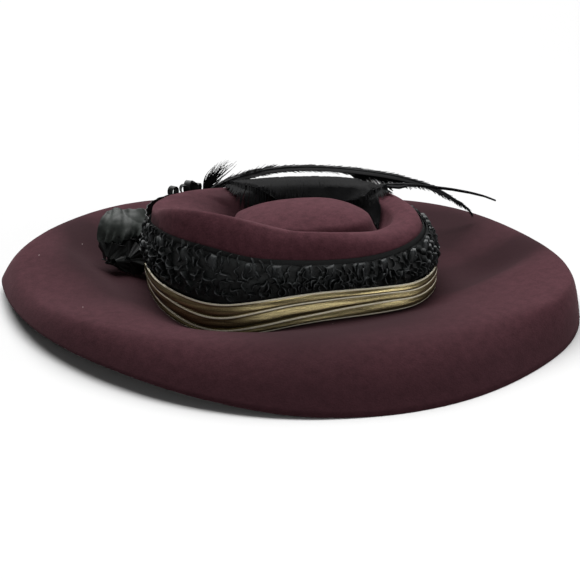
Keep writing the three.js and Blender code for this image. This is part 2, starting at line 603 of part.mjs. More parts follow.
function add(name, geometry, look) {
  const mesh = new THREE.Mesh(geometry, look);
  mesh.name = name;
  hat.add(mesh);
}

add("felt_body", feltBody(), FELT_CLOTH);
add("ribbon_flat", flatRibbon(), BLACK_RIBBON);
add("ribbon_ruched", ruchedRibbon(), BLACK_SATIN);
for (const fold of GOLD_FOLDS) add(fold.name, goldFold(fold), GOLD_LAME);
add("ribbon_rosette", rosette(), BLACK_SATIN);
add("ribbon_loops", ribbonLoops(), BLACK_SATIN);
add("plume_upper", upperPlume(), BLACK_FEATHER);
add("plume_broad", broadPlume(), BLACK_FEATHER);
add("plume_groove", groovePlume(), BLACK_FEATHER);
add("plume_tuft", featherTuft(), BLACK_FEATHER);

// The middle of the hat's outline becomes the origin, on the surface that it stands on.
const outline = new THREE.Box3().setFromObject(hat);
const middle = outline.getCenter(new THREE.Vector3());
hat.position.set(-middle.x, -middle.y, -outline.min.z);

export default hat;
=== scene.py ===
import bpy
import json
import random
from math import atan2, cos, degrees, exp, pi, radians, sin, sqrt, tau
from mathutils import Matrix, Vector, noise
from mathutils.bvhtree import BVHTree

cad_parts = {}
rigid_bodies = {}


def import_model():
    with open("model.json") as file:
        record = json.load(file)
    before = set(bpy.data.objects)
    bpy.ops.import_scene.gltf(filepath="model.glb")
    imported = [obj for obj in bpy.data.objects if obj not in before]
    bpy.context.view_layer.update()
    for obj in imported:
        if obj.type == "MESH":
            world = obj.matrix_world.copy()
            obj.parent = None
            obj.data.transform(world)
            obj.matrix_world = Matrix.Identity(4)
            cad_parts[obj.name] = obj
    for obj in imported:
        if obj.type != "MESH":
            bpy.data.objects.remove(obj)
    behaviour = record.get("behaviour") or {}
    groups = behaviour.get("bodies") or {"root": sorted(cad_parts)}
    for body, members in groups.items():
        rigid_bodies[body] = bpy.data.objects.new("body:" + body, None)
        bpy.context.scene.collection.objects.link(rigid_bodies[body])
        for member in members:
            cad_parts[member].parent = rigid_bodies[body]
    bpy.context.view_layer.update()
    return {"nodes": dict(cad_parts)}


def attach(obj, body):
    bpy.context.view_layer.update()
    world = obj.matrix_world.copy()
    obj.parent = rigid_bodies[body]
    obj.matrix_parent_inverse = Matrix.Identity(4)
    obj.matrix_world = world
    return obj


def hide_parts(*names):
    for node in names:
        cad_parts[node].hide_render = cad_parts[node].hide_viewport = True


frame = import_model()
nodes = frame["nodes"]
scene = bpy.context.scene
mm = 0.001
crownAxis = Vector((-0.38, 1.565, 0)) * mm  # middle of the crown seen from above
sections = 66  # segments round the hat in the carried solids
ringAngles = [tau * k / sections for k in range(sections)]
# lines that look for a surface start this far out or up, and end this near the crown's axis
farOut = 150 * mm
farUp = 200 * mm
nearMiddle = 30 * mm


def makeActive(piece):
    for other in scene.objects:
        other.select_set(False)
    piece.select_set(True)
    bpy.context.view_layer.objects.active = piece


def inEditMode(piece, work):
    makeActive(piece)
    bpy.ops.object.mode_set(mode="EDIT")
    bpy.ops.mesh.select_all(action="SELECT")
    work()
    bpy.ops.object.mode_set(mode="OBJECT")


def applyModifier(piece, kind, **settings):
    makeActive(piece)
    modifier = piece.modifiers.new(kind.title(), kind)
    for name, value in settings.items():
        setattr(modifier, name, value)
    bpy.ops.object.modifier_apply(modifier=modifier.name)


def roundOff(piece, levels=2):
    applyModifier(piece, "SUBSURF", levels=levels, render_levels=levels)


def thicken(piece, thickness):
    applyModifier(piece, "SOLIDIFY", thickness=thickness, offset=0)


def roughen(piece, name, size, height):
    # Soft waves or pits of one size in a surface, as far in as out
    clouds = bpy.data.textures.new(name, "CLOUDS")
    clouds.noise_scale = size
    clouds.noise_depth = 2
    applyModifier(piece, "DISPLACE", texture=clouds, texture_coords="LOCAL", strength=height, mid_level=0.5)


def flatGrid(columns, rows, size=1):
    bpy.ops.mesh.primitive_grid_add(x_subdivisions=columns, y_subdivisions=rows,
                                    size=size, location=(0, 0, 0))
    return bpy.context.object


def copyOfNode(nodeName, pieceName):
    # Own copy of a carried solid, its loose triangles joined and turned into quads
    piece = nodes[nodeName].copy()
    piece.data = nodes[nodeName].data.copy()
    piece.name = pieceName
    piece.parent = None
    for key in list(piece.keys()):
        del piece[key]
    scene.collection.objects.link(piece)
    piece.data.materials.clear()

    def mend():
        bpy.ops.mesh.customdata_custom_splitnormals_clear()
        bpy.ops.mesh.remove_doubles(threshold=0.002 * mm)
        bpy.ops.mesh.tris_convert_to_quads(face_threshold=radians(60), shape_threshold=radians(80))
    inEditMode(piece, mend)
    return piece


def copyOnto(source, move):
    # Own copy of a modelled piece, each of its points moved to its place
    piece = source.copy()
    piece.data = source.data.copy()
    scene.collection.objects.link(piece)
    for vertex in piece.data.vertices:
        vertex.co = move(vertex.co)
    return piece


def joined(pieces, name):
    makeActive(pieces[0])
    for piece in pieces:
        piece.select_set(True)
    bpy.ops.object.join()
    pieces[0].name = name
    return pieces[0]


def finishSurface(piece, look, sharpFrom=180):
    # Smooth shading, save at edges sharper than an angle, and one material
    makeActive(piece)
    if sharpFrom == 180:
        bpy.ops.object.shade_smooth()
    else:
        bpy.ops.object.shade_smooth_by_angle(angle=radians(sharpFrom))
    piece.data.materials.append(look.material)


def finishPiece(piece, slot, *replaced):
    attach(piece, "root")
    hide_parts(*replaced)


def outwardAt(angle):
    return Vector((cos(angle), sin(angle), 0))


def angleOf(point):
    return atan2(point.y - crownAxis.y, point.x - crownAxis.x)


def easing(low, high, value):
    t = min(max((value - low) / (high - low), 0.0), 1.0)
    return t * t * (3 - 2 * t)


def surfaceOf(*nodeNames):
    # Solids as one surface that lines can meet
    points = []
    faces = []
    for nodeName in nodeNames:
        mesh = nodes[nodeName].data
        start = len(points)
        points += [vertex.co.copy() for vertex in mesh.vertices]
        faces += [tuple(start + index for index in face.vertices) for face in mesh.polygons]
    return BVHTree.FromPolygons(points, faces)


def heightOn(surface, x, y, missing=0):
    # Height of a surface met from above, with a value for places beside it
    where = surface.ray_cast(Vector((x, y, farUp)), Vector((0, 0, -1)))[0]
    return missing if where is None else where.z


def aboveFelt(where, clear):
    # A point, lifted where it lies too near the felt
    where.z = max(where.z, heightOn(feltTop, where.x, where.y) + clear)
    return where


class Band:
    # A band of trim round the crown: its upper and lower line, and its outer surface
    def __init__(self, nodeName):
        self.low = [1.0] * sections
        self.high = [-1.0] * sections
        for vertex in nodes[nodeName].data.vertices:
            place = round(angleOf(vertex.co) / tau * sections) % sections
            self.low[place] = min(self.low[place], vertex.co.z)
            self.high[place] = max(self.high[place], vertex.co.z)
        self.surface = surfaceOf(nodeName)

    def between(self, rows, angle):
        place = angle / tau * sections
        before = int(place // 1)
        t = place - before
        return rows[before % sections] * (1 - t) + rows[(before + 1) % sections] * t

    def top(self, angle):
        return self.between(self.high, angle)

    def foot(self, angle):
        return self.between(self.low, angle)

    def at(self, angle, height):
        # Its surface, met from outside on a level line towards the crown's middle
        start = crownAxis + outwardAt(angle) * farOut + Vector((0, 0, height))
        return self.surface.ray_cast(start, -outwardAt(angle), farOut - nearMiddle)[0]

    def hem(self, angle):
        return self.at(angle, self.foot(angle) + 0.5 * mm)


class Line:
    # Smooth line through a table of points in millimetres, each with a width
    def __init__(self, rows):
        self.rows = [Vector(row) * mm for row in rows]
        self.reach = [0.0]
        for before, after in zip(self.rows, self.rows[1:]):
            self.reach.append(self.reach[-1] + (after.xyz - before.xyz).length)

    def row(self, share):
        far = min(max(share, 0.0), 1.0) * self.reach[-1]
        last = len(self.rows) - 1
        k = max(i for i in range(last) if self.reach[i] <= far)
        t = (far - self.reach[k]) / (self.reach[k + 1] - self.reach[k])
        first, second, third, fourth = [self.rows[min(max(k + step, 0), last)] for step in (-1, 0, 1, 2)]
        squared = 2 * first - 5 * second + 4 * third - fourth
        cubed = 3 * second - first - 3 * third + fourth
        return 0.5 * (2 * second + (third - first) * t + squared * t ** 2 + cubed * t ** 3)

    def at(self, share):
        return self.row(share).xyz

    def width(self, share):
        return self.row(share).w

    def tangent(self, share, step=0.004):
        return (self.at(share + step) - self.at(share - step)).normalized()


def stripRow(count, segments, place):
    # Many narrow strips at once: place gives where a point of strip k goes, u across it and v along it
    strips = flatGrid(1, segments)
    applyModifier(strips, "ARRAY", count=count, use_relative_offset=False,
                  use_constant_offset=True, constant_offset_displace=(2, 0, 0))
    for vertex in strips.data.vertices:
        k = round(vertex.co.x / 2)
        vertex.co = place(k, vertex.co.x - 2 * k, vertex.co.y + 0.5)
    return strips


def tubeAlong(points, radii, closed=False):
    # A rounded quill through points, with a radius at each, or a cord that closes on itself
    bpy.ops.curve.primitive_nurbs_path_add(radius=1)
    path = bpy.context.object
    curve = path.data
    curve.splines.remove(curve.splines[0])
    line = curve.splines.new("NURBS")
    line.points.add(len(points) - 1)
    for spot, point, radius in zip(line.points, points, radii):
        spot.co = (*point, 1)
        spot.radius = radius
    line.use_cyclic_u = closed
    line.use_endpoint_u = not closed
    line.order_u = 4
    line.resolution_u = 4
    curve.bevel_depth = 1
    curve.bevel_resolution = 2
    curve.use_fill_caps = True
    path.location = (0, 0, 0)
    makeActive(path)
    bpy.ops.object.convert(target="MESH")
    return bpy.context.object


def mixed(first, second, share):
    return first + (second - first) * share


class Signal:
    # A shader socket. Sums on it add their maths nodes.
    def __init__(self, look, socket):
        self.look = look
        self.socket = socket

    def maths(self, operation, *values, clamp=False):
        settings = {"operation": operation, "use_clamp": clamp}
        return self.look.node("Math", settings, dict(enumerate(values)))

    def __add__(self, other):
        return self.maths("ADD", self, other)

    __radd__ = __add__

    def __mul__(self, other):
        return self.maths("MULTIPLY", self, other)

    def __sub__(self, other):
        return self.maths("SUBTRACT", self, other)

    def __rsub__(self, other):
        return self.maths("SUBTRACT", other, self)

    def __gt__(self, other):
        return self.maths("GREATER_THAN", self, other)

    def __lt__(self, other):
        return self.maths("LESS_THAN", self, other)

    def sine(self):
        return self.maths("SINE", self)

    def clamped(self):
        return self.maths("ADD", self, 0.0, clamp=True)

    def span(self, low, high):
        return self.look.node("MapRange", {"interpolation_type": "SMOOTHSTEP"},
                              {"Value": self, "From Min": low, "From Max": high})


class Look:
    # A procedural material round one Principled shader
    def __init__(self, name, **uniform):
        self.material = bpy.data.materials.new(name)
        self.material.use_nodes = True
        self.tree = self.material.node_tree
        self.shader = self.tree.nodes["Principled BSDF"]
        for socket, value in uniform.items():
            self.shader.inputs[socket.replace("_", " ")].default_value = value

    def node(self, kind, settings=None, values=None, output=0):
        made = self.tree.nodes.new("ShaderNode" + kind)
        for name, value in (settings or {}).items():
            setattr(made, name, value)
        for key, value in (values or {}).items():
            if isinstance(value, Signal):
                self.tree.links.new(value.socket, made.inputs[key])
            else:
                made.inputs[key].default_value = value
        return Signal(self, made.outputs[output])

    def points(self, kind, scale):
        where = self.node("TexCoord", output=kind)
        if scale is None:
            return where
        return self.node("Mapping", None, {"Vector": where, "Scale": scale})

    def place(self, scale=None):
        return self.points("Object", scale)

    def wrap(self, scale=None):
        return self.points("UV", scale)

    def attribute(self, name):
        return self.node("Attribute", {"attribute_name": name}, None, "Fac")

    def noise(self, where, scale, detail=2.0, roughness=0.5, distortion=0.0):
        values = {"Vector": where, "Scale": scale, "Detail": detail,
                  "Roughness": roughness, "Distortion": distortion}
        return self.node("TexNoise", None, values)

    def cells(self, where, scale, output="Distance"):
        return self.node("TexVoronoi", None, {"Vector": where, "Scale": scale}, output)

    def acrossAndUp(self, where):
        parts = self.node("SeparateXYZ", None, {"Vector": where}).socket.node
        return [Signal(self, parts.outputs[axis]) for axis in "XY"]

    def blend(self, share, first, second):
        return self.node("Mix", {"data_type": "RGBA"}, {0: share, 6: first, 7: second}, 2)

    def feed(self, socket, signal):
        self.tree.links.new(signal.socket, self.shader.inputs[socket])

    def paint(self, share, first, second):
        self.feed("Base Color", self.blend(share, first, second))

    def emboss(self, height, strength, depth):
        values = {"Height": height, "Strength": strength, "Distance": depth}
        self.feed("Normal", self.node("Bump", None, values))


def wrapMap(piece):
    # UV map in metres: round the crown and up it
    layer = piece.data.uv_layers.new(name="wrap")
    for face in piece.data.polygons:
        first = angleOf(piece.data.vertices[face.vertices[0]].co)
        for loop in face.loop_indices:
            point = piece.data.vertices[piece.data.loops[loop].vertex_index].co
            turn = angleOf(point) - first
            turn -= tau * round(turn / tau)
            layer.data[loop].uv = ((first + turn) * 0.09, point.z)


studio = {
    "azimuth": -17, "elevation": 20, "back": 600 * mm, "height": 226 * mm,
    "lens": 55.74, "shiftY": -0.0138,
    "floorTone": (0.45, 0.45, 0.45, 1), "floorRoughness": 0.9, "worldStrength": 0.1,
    "skyTilt": (-30, 4, 0), "skyAngle": 56, "skyPower": 7.2,
    "lamps": {
        "frontLight": {"place": (-0.6, -1.5, 0.8), "size": 1.0, "power": 0.6},
        "sideLight": {"place": (1.12, -0.94, 0.37), "size": 0.42, "power": 5},
        "bandLight": {"place": (0.12, -1.45, 0.34), "size": 0.3, "power": 3},
    },
}

turn = radians(studio["azimuth"])
eye = crownAxis + Vector((sin(turn), -cos(turn), 0)) * studio["back"]
bpy.ops.object.camera_add(location=(eye.x, eye.y, studio["height"]),
                          rotation=(radians(90 - studio["elevation"]), 0, turn))
camera = bpy.context.object
camera.data.lens = studio["lens"]
camera.data.shift_y = studio["shiftY"]
camera.data.clip_start = 0.02
scene.camera = camera

bpy.ops.mesh.primitive_circle_add(vertices=96, radius=9, fill_type="NGON", location=(0, 0, 0))
floor = bpy.context.object
floor.name = "studioFloor"
floorLook = Look("paleFloor", Base_Color=studio["floorTone"], Roughness=studio["floorRoughness"])
floor.data.materials.append(floorLook.material)

bpy.ops.object.light_add(type="SUN", location=(0, 0, 1.5),
                         rotation=[radians(angle) for angle in studio["skyTilt"]])
sky = bpy.context.object
sky.name = "skyLight"
sky.data.energy = studio["skyPower"]
sky.data.angle = radians(studio["skyAngle"])

for name, lamp in studio["lamps"].items():
    place = Vector(lamp["place"])
    facing = (-place).to_track_quat("-Z", "Y").to_euler()
    bpy.ops.object.light_add(type="AREA", location=place, rotation=facing)
    bpy.context.object.name = name
    bpy.context.object.data.size = lamp["size"]
    bpy.context.object.data.energy = lamp["power"]

world = bpy.data.worlds.new("softRoom")
world.use_nodes = True
background = world.node_tree.nodes["Background"]
background.inputs["Color"].default_value = (1, 1, 1, 1)
background.inputs["Strength"].default_value = studio["worldStrength"]
scene.world = world
scene.view_settings.view_transform = "Standard"
print("stage set")


feltBody = {
    "waviness": 0.5 * mm, "waveSize": 50 * mm, "pitting": 0.14 * mm, "pitSize": 6 * mm,
    "dark": (0.030, 0.0095, 0.0128, 1), "light": (0.070, 0.0245, 0.0318, 1),
    # colour of the painted shade, where shadow falls on the felt
    "paintedShade": (0.014, 0.0046, 0.0063, 1), "lint": (0.36, 0.31, 0.30, 1),
    # soft folds of the brim: both ends of the crest, its height and width, and the hollow beside it
    "folds": [
        {"from": (-124, -36), "to": (-164, 112), "crest": 3.2, "crestWide": 15,
         "hollow": 6.5, "hollowBeside": -25, "hollowWide": 20, "fades": (0.5, 0.85)},
        {"from": (82, -80), "to": (196, -44), "crest": 2.4, "crestWide": 14,
         "hollow": 5.5, "hollowBeside": 25, "hollowWide": 20, "fades": (0.5, 0.88)},
    ],
    "foldFade": 0.22, "hollowFades": (0.85, 1.2), "edgeHeight": (9 * mm, 21 * mm),
    # how far outside the gold folds' foot the brim, its soft folds, their shade and its low edge begin
    "brimFrom": -3, "foldsFrom": (4, 30), "shadeFrom": (2, 12), "lowFrom": 30,
    # painted shade: darker in the folds' hollows, beside the crown's root, over all the brim and along its
    # low edge
    "shade": 0.75, "rootShade": 0.6, "rootWide": 40, "brimShade": 0.27,
    "lowShade": 0.3, "lowHeight": (8 * mm, 24 * mm), "darkest": 0.95,
    # painted shade patches, where shadow falls on the felt: x, y, width and shade
    "shadePatches": [(150, 44, 44, 0.45), (118, 62, 40, 0.4), (92, 96, 34, 0.5), (-120, 42, 32, 0.95),
                (-118, -16, 26, 0.35), (-34, -122, 40, 0.6), (28, -118, 42, 0.45)],
    "crownShadePatches": [(-27, 50, 17, 0.7), (-52, 38, 18, 0.4)],
}


def feltLook():
    look = Look("plumFelt", Roughness=0.95, Specular_IOR_Level=0.08, Sheen_Weight=0.05,
                Sheen_Roughness=0.5, Sheen_Tint=(0.8, 0.4, 0.45, 1))
    where = look.place()
    steam = look.noise(where, 9, 2)
    nap = look.noise(where, 190, 5, 0.65)
    fibre = look.noise(where, 900, 3, 0.6)
    tone = 0.5 + (steam - 0.5) * 0.5 + (nap - 0.5) * 1.5 + (fibre - 0.5) * 1.0
    cloth = look.blend(tone.clamped(), feltBody["dark"], feltBody["light"])
    # Painted shade: the felt darkened where shadow falls, as the attribute says
    cloth = look.blend(look.attribute("paintedShade"), cloth, feltBody["paintedShade"])
    # Lint: a few pale specks on the nap
    speck = look.cells(where, 95)
    rare = look.node("SeparateColor", None, {"Color": look.cells(where, 95, "Color")})
    lint = (speck < 0.045) * (rare > 0.9)
    look.paint(lint * 0.6, cloth, feltBody["lint"])
    look.emboss(nap * 0.6 + fibre * 0.5, 0.35, 0.7 * mm)
    return look


def foldOf(fold, point):
    # How much a fold lifts a point of the brim, and how deep it lies in the fold's hollow, 0 to 1
    start = Vector(fold["from"]) * mm
    along = Vector(fold["to"]) * mm - start
    reach = along.length
    along.normalize()
    offset = point.xy - start
    share = offset.dot(along) / reach
    begun = easing(0, feltBody["foldFade"], share)
    beside = (offset.y * along.x - offset.x * along.y) / mm
    crest = exp(-(beside / fold["crestWide"]) ** 2)
    hollow = exp(-((beside - fold["hollowBeside"]) / fold["hollowWide"]) ** 2)
    kept = 1 - easing(*fold["fades"], share)
    lift = begun * kept * (fold["crest"] * crest - fold["hollow"] * hollow) * mm
    return lift, begun * (1 - easing(*feltBody["hollowFades"], share)) * hollow


def creaseEdges(piece, angle, amount):
    def mark():
        bpy.ops.mesh.select_mode(type="EDGE")
        bpy.ops.mesh.select_all(action="DESELECT")
        bpy.ops.mesh.edges_select_sharp(sharpness=radians(angle))
        bpy.ops.transform.edge_crease(value=amount)
    inEditMode(piece, mark)


def foldsFoot(angle):
    # Where the lowest fold stands on the felt, seen from above
    return footPoints[round(angle / tau * sections) % sections]


def shadeAt(point, outside, folds):
    # How much painted shade darkens the felt at a point, 0 to 1, this far outside the folds' foot: in the
    # folds' hollows, beside the crown, over the brim and along its low edge
    begun = easing(*feltBody["shadeFrom"], outside)
    shade = feltBody["shade"] * sum(deep for lift, deep in folds) * begun
    shadePatches = feltBody["crownShadePatches"]
    if outside > feltBody["brimFrom"]:
        shade += feltBody["rootShade"] * exp(-max(outside, 0) / feltBody["rootWide"])
        shade += feltBody["brimShade"]
        shadePatches = feltBody["shadePatches"]
    for x, y, wide, amount in shadePatches:
        shade += amount * exp(-(point.xy - Vector((x, y)) * mm).length_squared / (wide * mm) ** 2)
    if outside > feltBody["lowFrom"]:
        shade += feltBody["lowShade"] * (1 - easing(*feltBody["lowHeight"], point.z))
    return min(shade, feltBody["darkest"])


lowestFold = Band("gold_fold_lower")
footPoints = [lowestFold.hem(angle).xy for angle in ringAngles]
felt = copyOfNode("felt_body", "feltBody")
creaseEdges(felt, 38, 0.75)
roundOff(felt)
roughen(felt, "feltWaves", feltBody["waveSize"], feltBody["waviness"])
roughen(felt, "feltPits", feltBody["pitSize"], feltBody["pitting"])
# Painted shade: how far each point of the felt is darkened where shadow would fall
paintedShade = felt.data.attributes.new("paintedShade", "FLOAT", "POINT")
for vertex in felt.data.vertices:
    angle = angleOf(vertex.co)
    outside = (vertex.co.xy - foldsFoot(angle)).dot(outwardAt(angle).xy) / mm
    folds = [foldOf(fold, vertex.co) for fold in feltBody["folds"]]
    paintedShade.data[vertex.index].value = shadeAt(vertex.co, outside, folds)
    onBrim = easing(*feltBody["foldsFrom"], outside) * easing(*feltBody["edgeHeight"], vertex.co.z)
    vertex.co.z = max(vertex.co.z + sum(lift for lift, deep in folds) * onBrim, 0)
finishSurface(felt, feltLook())
finishPiece(felt, "felt", "felt_body")
print("felt body pressed")


flatRibbon = {"rib": 0.9 * mm, "tone": (0.0025, 0.0028, 0.003, 1), "sheen": (0.008, 0.009, 0.009, 1)}


def grosgrainLook():
    look = Look("blackGrosgrain", Roughness=0.65, Specular_IOR_Level=0.2)
    across = look.acrossAndUp(look.wrap())[0]
    rib = (across * (tau / flatRibbon["rib"])).sine() * 0.5 + 0.5
    patchiness = look.noise(look.wrap((1, 3, 1)), 60, 3)
    # Painted sheen: the rib crests lighter, in patches
    look.paint(patchiness * rib, flatRibbon["tone"], flatRibbon["sheen"])
    look.emboss(rib + patchiness * 0.5, 0.5, 0.15 * mm)
    return look


ribbon = copyOfNode("ribbon_flat", "ribbonFlat")
roundOff(ribbon)
wrapMap(ribbon)
finishSurface(ribbon, grosgrainLook(), 50)
finishPiece(ribbon, "ribbon", "ribbon_flat")
print("flat ribbon wound")


gold = {
    "bead": 0.68 * mm, "hollow": 0.6 * mm, "bulge": 2.1 * mm, "flare": 1.8 * mm,
    # shares of a fold's height at which the hollow, bulge and flare lie; bulgeLow draws the bulge down
    "hollowAt": 0.14, "hollowWide": 0.1, "bulgeFrom": 0.12, "bulgeLow": 1.7, "flareFrom": 0.7,
    # a bead's place below the upper line, its lift from there, and the lowest bead's from the felt
    "beadDown": 0.35 * mm, "beadUp": 0.25 * mm, "beadClear": 0.4 * mm,
    "bronze": (0.05, 0.037, 0.017, 1), "gilt": (0.66, 0.55, 0.28, 1),
    "thread": (1.0, 0.96, 0.8, 1), "threadDark": (0.86, 0.78, 0.56, 1),
}


def lameLook():
    look = Look("goldLame", Metallic=0.95, Specular_IOR_Level=0.5)
    wrap = look.wrap()
    across, up = look.acrossAndUp(wrap)
    weave = (across * (tau / (0.8 * mm))).sine() * (up * (tau / (0.7 * mm))).sine()
    streak = look.noise(look.wrap((14, 330, 1)), 1.0, 4, 0.6)
    glint = look.noise(wrap, 1500, 3, 0.7)
    tone = (streak.span(0.3, 0.72) * 0.75 + glint.span(0.45, 0.7) * 0.35).clamped()
    look.paint(tone, gold["bronze"], gold["gilt"])
    look.feed("Roughness", 0.42 - glint * 0.22)
    look.emboss(weave * 0.3 + glint, 0.4, 0.2 * mm)
    return look


def goldCordLook():
    look = Look("goldCord", Metallic=0.05, Specular_IOR_Level=0.5)
    where = look.place()
    twist = look.noise(where, 1300, 3, 0.7)
    glint = look.noise(where, 420, 2, 0.6)
    tone = (twist.span(0.35, 0.65) * 0.7 + glint.span(0.35, 0.65) * 0.3).clamped()
    look.paint(tone, gold["threadDark"], gold["thread"])
    look.feed("Roughness", 0.5 - twist * 0.25)
    look.emboss(twist, 0.5, 0.25 * mm)
    return look


def swellAt(level, t):
    # How far a fold swells out at a share t of the way down it
    start = gold["bulgeFrom"]
    share = min(max(t - start, 0) / (1 - start), 1)
    swell = gold["bulge"] * sin(pi * share ** gold["bulgeLow"])
    beside = (t - gold["hollowAt"]) / gold["hollowWide"]
    swell -= gold["hollow"] * exp(-beside ** 2)
    if level == "lower":
        swell += gold["flare"] * easing(gold["flareFrom"], 1, t)
    return swell


def topBead(band, angle):
    return band.at(angle, band.top(angle) - gold["beadDown"]) + Vector((0, 0, gold["beadUp"]))


def hemBead(band, angle):
    # Where the lowest bead lies, on the felt at the foot of the folds
    return aboveFelt(band.hem(angle) + outwardAt(angle) * gold["flare"], gold["beadClear"])


lame = lameLook()
goldCord = goldCordLook()
feltTop = surfaceOf("felt_body")
for level in ("upper", "middle", "lower"):
    node = "gold_fold_" + level
    name = "goldFold" + level.title()
    band = Band(node)
    fold = copyOfNode(node, name)
    roundOff(fold)
    for vertex in fold.data.vertices:
        angle = angleOf(vertex.co)
        top = band.top(angle)
        t = (top - vertex.co.z) / (top - band.foot(angle))
        vertex.co += outwardAt(angle) * swellAt(level, t)
    wrapMap(fold)
    finishSurface(fold, lame)
    rings = [[topBead(band, angle) for angle in ringAngles]]
    if level == "lower":
        rings.append([hemBead(band, angle) for angle in ringAngles])
    cords = [tubeAlong(ring, [gold["bead"]] * sections, closed=True) for ring in rings]
    for cord in cords:
        finishSurface(cord, goldCord)
    finishPiece(joined([fold, *cords], name), "lame", node)
print("gold folds laid")


ruching = {
    "tone": (0.0045, 0.0053, 0.0053, 1), "sheen": (0.018, 0.0202, 0.0202, 1),
    # painted highlight on the curls' free edges, where they catch the light
    "hem": (0.07, 0.075, 0.078, 1),
    # the caps: the same black satin painted lighter, where they face up to the light
    "capLitTone": (0.01, 0.0112, 0.0115, 1), "capLitSheen": (0.032, 0.035, 0.036, 1),
    "caps": {"count": 29, "shapes": 3, "down": 0.03, "wide": 9.5, "tall": 9.5, "out": 2.6,
             "swing": 16},
    "curls": [
        {"down": -0.13, "count": 92, "tall": 7.0, "wide": 4.0, "out": 2.6, "swing": 24,
         "between": (172, 246)},
        {"down": 0.00, "count": 84, "tall": 6.5, "wide": 4.5, "out": 3.2, "swing": 22},
        {"down": 0.15, "count": 92, "tall": 6.5, "wide": 5.0, "out": 3.9, "swing": 50},
        {"down": 0.30, "count": 92, "tall": 6.5, "wide": 5.5, "out": 4.3, "swing": 75},
        {"down": 0.45, "count": 92, "tall": 6.5, "wide": 5.5, "out": 4.5, "swing": 75},
        {"down": 0.60, "count": 92, "tall": 6.0, "wide": 5.5, "out": 4.3, "swing": 60},
        {"down": 0.71, "count": 84, "tall": 5.5, "wide": 5.0, "out": 3.4, "swing": 30},
    ],
    "shapes": 8, "edge": 0.35 * mm, "capEdge": 0.3 * mm, "rootOut": 1.1 * mm, "tuck": 0.8 * mm,
    # the ground between the curls: its puckers, and how far it sinks where it stands out too far
    "puckers": 1.2 * mm, "puckerSize": 3.5 * mm, "groundOut": 1 * mm, "sunk": 0.7,
}


def satinLook(name, dark, sheen, roughness, gloss, creaseSize=160, edgeHighlightTone=None):
    look = Look(name, Roughness=roughness, Specular_IOR_Level=gloss)
    where = look.place()
    crease = look.noise(where, creaseSize, 3, 0.55, 0.4)
    thread = look.noise(look.place((1, 1, 6)), 900, 2)
    # Painted sheen: the sheen colour shows where the crease noise is high
    satin = look.blend(crease.span(0.35, 0.7), dark, sheen)
    if edgeHighlightTone:
        # Painted highlight: paler along the free edges, where they catch the light, in patches
        patchiness = look.noise(where, 260, 2).span(0.35, 0.6)
        satin = look.blend(look.attribute("hem").span(0.7, 1.0) * patchiness, satin, edgeHighlightTone)
    look.feed("Base Color", satin)
    look.feed("Roughness", roughness - 0.08 + crease * 0.2)
    look.emboss(crease + thread * 0.15, 0.4, 0.5 * mm)
    return look


def curlShape(seed):
    # One gathered loop of ribbon on edge: a bent strip that stands out from the band
    dice = random.Random(seed)
    bend = dice.uniform(0.25, 0.5) * dice.choice((-1, 1))
    hook = dice.uniform(0.0, 0.5)
    piece = flatGrid(3, 9)
    # where the painted edge highlight shows: strongest at a curl's free edge, which catches the light
    hem = piece.data.attributes.new("hem", "FLOAT", "POINT")
    for vertex in piece.data.vertices:
        depth = vertex.co.x + 0.5
        t = 0.5 - vertex.co.y
        across = bend * sin(pi * t) + bend * hook * sin(tau * t)
        lift = 0.3 + 0.7 * sin(pi * min(max(0.12 + 0.76 * t, 0), 1))
        vertex.co = Vector((across, -t + 0.15 * sin(pi * t) * hook, depth * lift))
        hem.data[vertex.index].value = depth * lift ** 0.5
    return piece


def capShape(seed):
    # One puff of the upper row: gathered narrow at its top, wider and pleated towards its foot
    dice = random.Random(seed)
    phase = dice.uniform(-0.3, 0.3)
    piece = flatGrid(10, 9, 2)
    for vertex in piece.data.vertices:
        u = vertex.co.x
        v = vertex.co.y
        full = max(1 - abs(u) ** 2.5, 0) ** 0.6 * max(1 - abs(v) ** 3, 0) ** 0.6
        pleat = 0.4 * exp(-((u - phase) / 0.16) ** 2)
        pleat += 0.25 * exp(-((u + phase + 0.55) / 0.14) ** 2)
        lower = 0.5 - 0.5 * v
        foot = 0.12 * lower * cos(5.5 * (u - phase))
        wide = 0.32 + 0.2 * lower
        vertex.co = Vector((wide * u, 0.5 * v - 0.5 - foot, full * (1 - pleat * lower)))
    return piece


def rucheCopy(source, row, angle, down, grow, swing):
    # A copy of a gathered shape on the ruched band, as large as its row says and turned by swing
    wide, tall, deep = [row[measure] * grow for measure in ("wide", "tall", "out")]
    top = rucheBand.top(angle)
    height = top - down * (top - rucheBand.foot(angle))
    where = ribbonBand.at(angle, height - 0.5 * tall)
    side = Vector((-sin(angle), cos(angle), 0))
    out = side.cross(Vector((0, 0, 1)))
    right = side * cos(swing) + Vector((0, 0, sin(swing)))
    up = Vector((0, 0, cos(swing))) - side * sin(swing)
    middle = Vector((where.x, where.y, height - 0.5 * tall)) + out * ruching["rootOut"]
    foot = rucheBand.foot(angle) + ruching["tuck"]

    def move(co):
        moved = middle + right * co.x * wide + up * (co.y + 0.5) * tall + out * co.z * deep
        moved.z = max(moved.z, foot + 0.1 * (moved.z - foot))
        return moved
    return copyOnto(source, move)


rucheBand = Band("ribbon_ruched")
ribbonBand = Band("ribbon_flat")
dice = random.Random(12)
base = copyOfNode("ribbon_ruched", "ruchedBase")
roundOff(base)
for vertex in base.data.vertices:
    angle = angleOf(vertex.co)
    where = ribbonBand.at(angle, min(vertex.co.z, rucheBand.top(angle)))
    if where is not None:
        excess = (vertex.co - where).dot(outwardAt(angle)) - ruching["groundOut"]
        vertex.co -= outwardAt(angle) * max(excess, 0) * ruching["sunk"]
roughen(base, "ruchePuckers", ruching["puckerSize"], ruching["puckers"])

